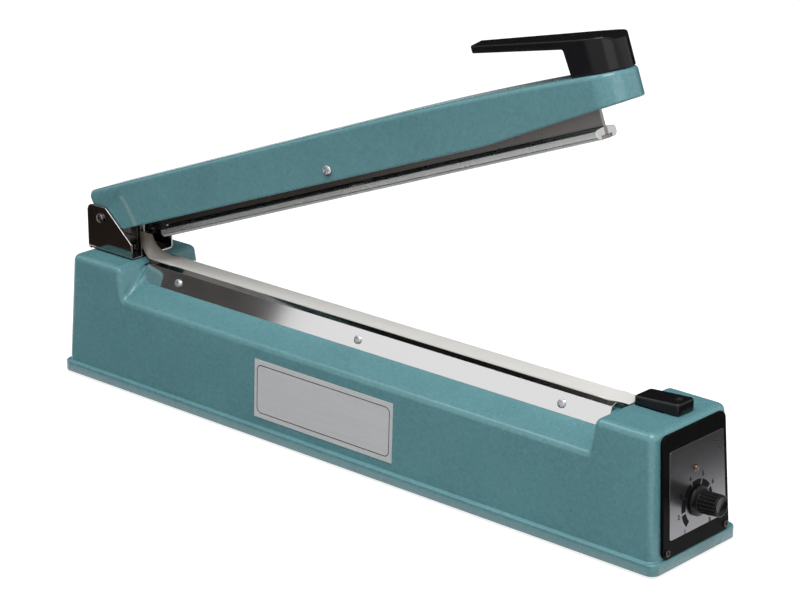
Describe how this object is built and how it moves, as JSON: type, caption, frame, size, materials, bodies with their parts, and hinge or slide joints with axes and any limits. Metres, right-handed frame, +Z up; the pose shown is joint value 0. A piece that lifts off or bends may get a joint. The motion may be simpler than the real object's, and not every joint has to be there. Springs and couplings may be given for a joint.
{
  "type": "bag sealer",
  "caption": "Hand impulse bag sealer: a painted base with a heated jaw, a sprung hinged press arm with a handle, and a timer knob on the end panel.",
  "frame": {"origin": "middle of the base footprint, on the surface that the feet stand on", "axes": "+X along the jaw towards the control panel, +Y to the rear clamp plate, +Z up"},
  "size_m": [0.5466, 0.086, 0.3146],
  "materials": {
    "teal_paint": "hammered gloss enamel",
    "black_plastic": "moulded, fine texture",
    "switch_plastic": "moulded",
    "red_plastic": "clear red",
    "dial_metal": "brushed",
    "polished_steel": "polished",
    "zinc_steel": "bright zinc",
    "aluminium": "extruded",
    "silicone": "matt",
    "cloth": "coated glass cloth",
    "element_alloy": "rolled",
    "brass": "bare",
    "rubber": "matt",
    "nylon": "moulded",
    "circuit_board": "lacquered",
    "core_steel": "varnished laminations",
    "copper": "enamelled wire"
  },
  "bodies": {
    "base": {"base_housing": "teal_paint", "control_bezel": "black_plastic", "terminal_cap": "black_plastic", "micro_switch": "switch_plastic", "pilot_lamp": "red_plastic", "dial_plate": "dial_metal", "rating_plate": "dial_metal", "front_clamp_plate": "polished_steel", "rear_clamp_plate": "polished_steel", "hinge_bracket": "polished_steel", "bottom_plate": "zinc_steel", "bottom_screws": "zinc_steel", "bezel_screws": "zinc_steel", "bracket_screws": "zinc_steel", "hinge_pin": "zinc_steel", "hinge_nut": "zinc_steel", "plate_screws": "zinc_steel", "cap_screw": "zinc_steel", "switch_bracket": "zinc_steel", "return_spring": "zinc_steel", "potentiometer": "zinc_steel", "potentiometer_nut": "zinc_steel", "jaw_bar": "aluminium", "nonstick_cloth": "cloth", "insulating_strip": "cloth", "heating_element": "element_alloy", "front_terminal": "brass", "rear_terminal": "brass", "rubber_feet": "rubber", "cable_grommet": "rubber", "rod_bush": "nylon", "board_posts": "nylon", "timer_board": "circuit_board", "transformer_core": "core_steel", "transformer_coil": "copper"},
    "arm": {"press_arm": "teal_paint", "handle": "black_plastic", "handle_screws": "zinc_steel", "strike_plate": "zinc_steel", "hinge_bushes": "nylon", "pivot_screw": "zinc_steel", "pivot_nut": "zinc_steel", "pivot_spacers": "nylon"},
    "bar": {"press_bar": "aluminium", "silicone_strip": "silicone"},
    "knob": {"timer_knob": "black_plastic", "potentiometer_shaft": "zinc_steel"},
    "rod": {"return_rod": "zinc_steel"},
    "button": {"switch_button": "red_plastic"}
  },
  "joints": [
    {"name": "arm_hinge", "type": "hinge", "parent": "base", "child": "arm", "pos_m": [-0.2445, 0, 0.1148], "axis": [0, 1, 0], "range_deg": [0, 20.4], "stiffness_Nm_per_rad": 8, "springref_deg": -40.11},
    {"name": "press_bar_float", "type": "hinge", "parent": "arm", "child": "bar", "pos_m": [-0.02238, 0, 0.19314], "axis": [0, 1, 0], "range_deg": [-0.1, 0.1]},
    {"name": "timer_turn", "type": "hinge", "parent": "base", "child": "knob", "pos_m": [0.2609, 0.0015, 0.03807], "axis": [0.9982, 0, 0.0593], "range_deg": [-135, 135]},
    {"name": "return_rod_slide", "type": "slide", "parent": "base", "child": "rod", "axis": [0, 0, -1], "range_m": [0, 0.0068], "deforming": ["return_spring"]},
    {"name": "switch_press", "type": "slide", "parent": "base", "child": "button", "axis": [0, 0, -1], "range_m": [0, 0.0011]}
  ],
  "couplings": [
    {"joint": "return_rod_slide", "follows": "arm_hinge", "m_per_rad": 0.018767},
    {"joint": "switch_press", "follows": "arm_hinge", "m_per_rad": 0.002809}
  ]
}
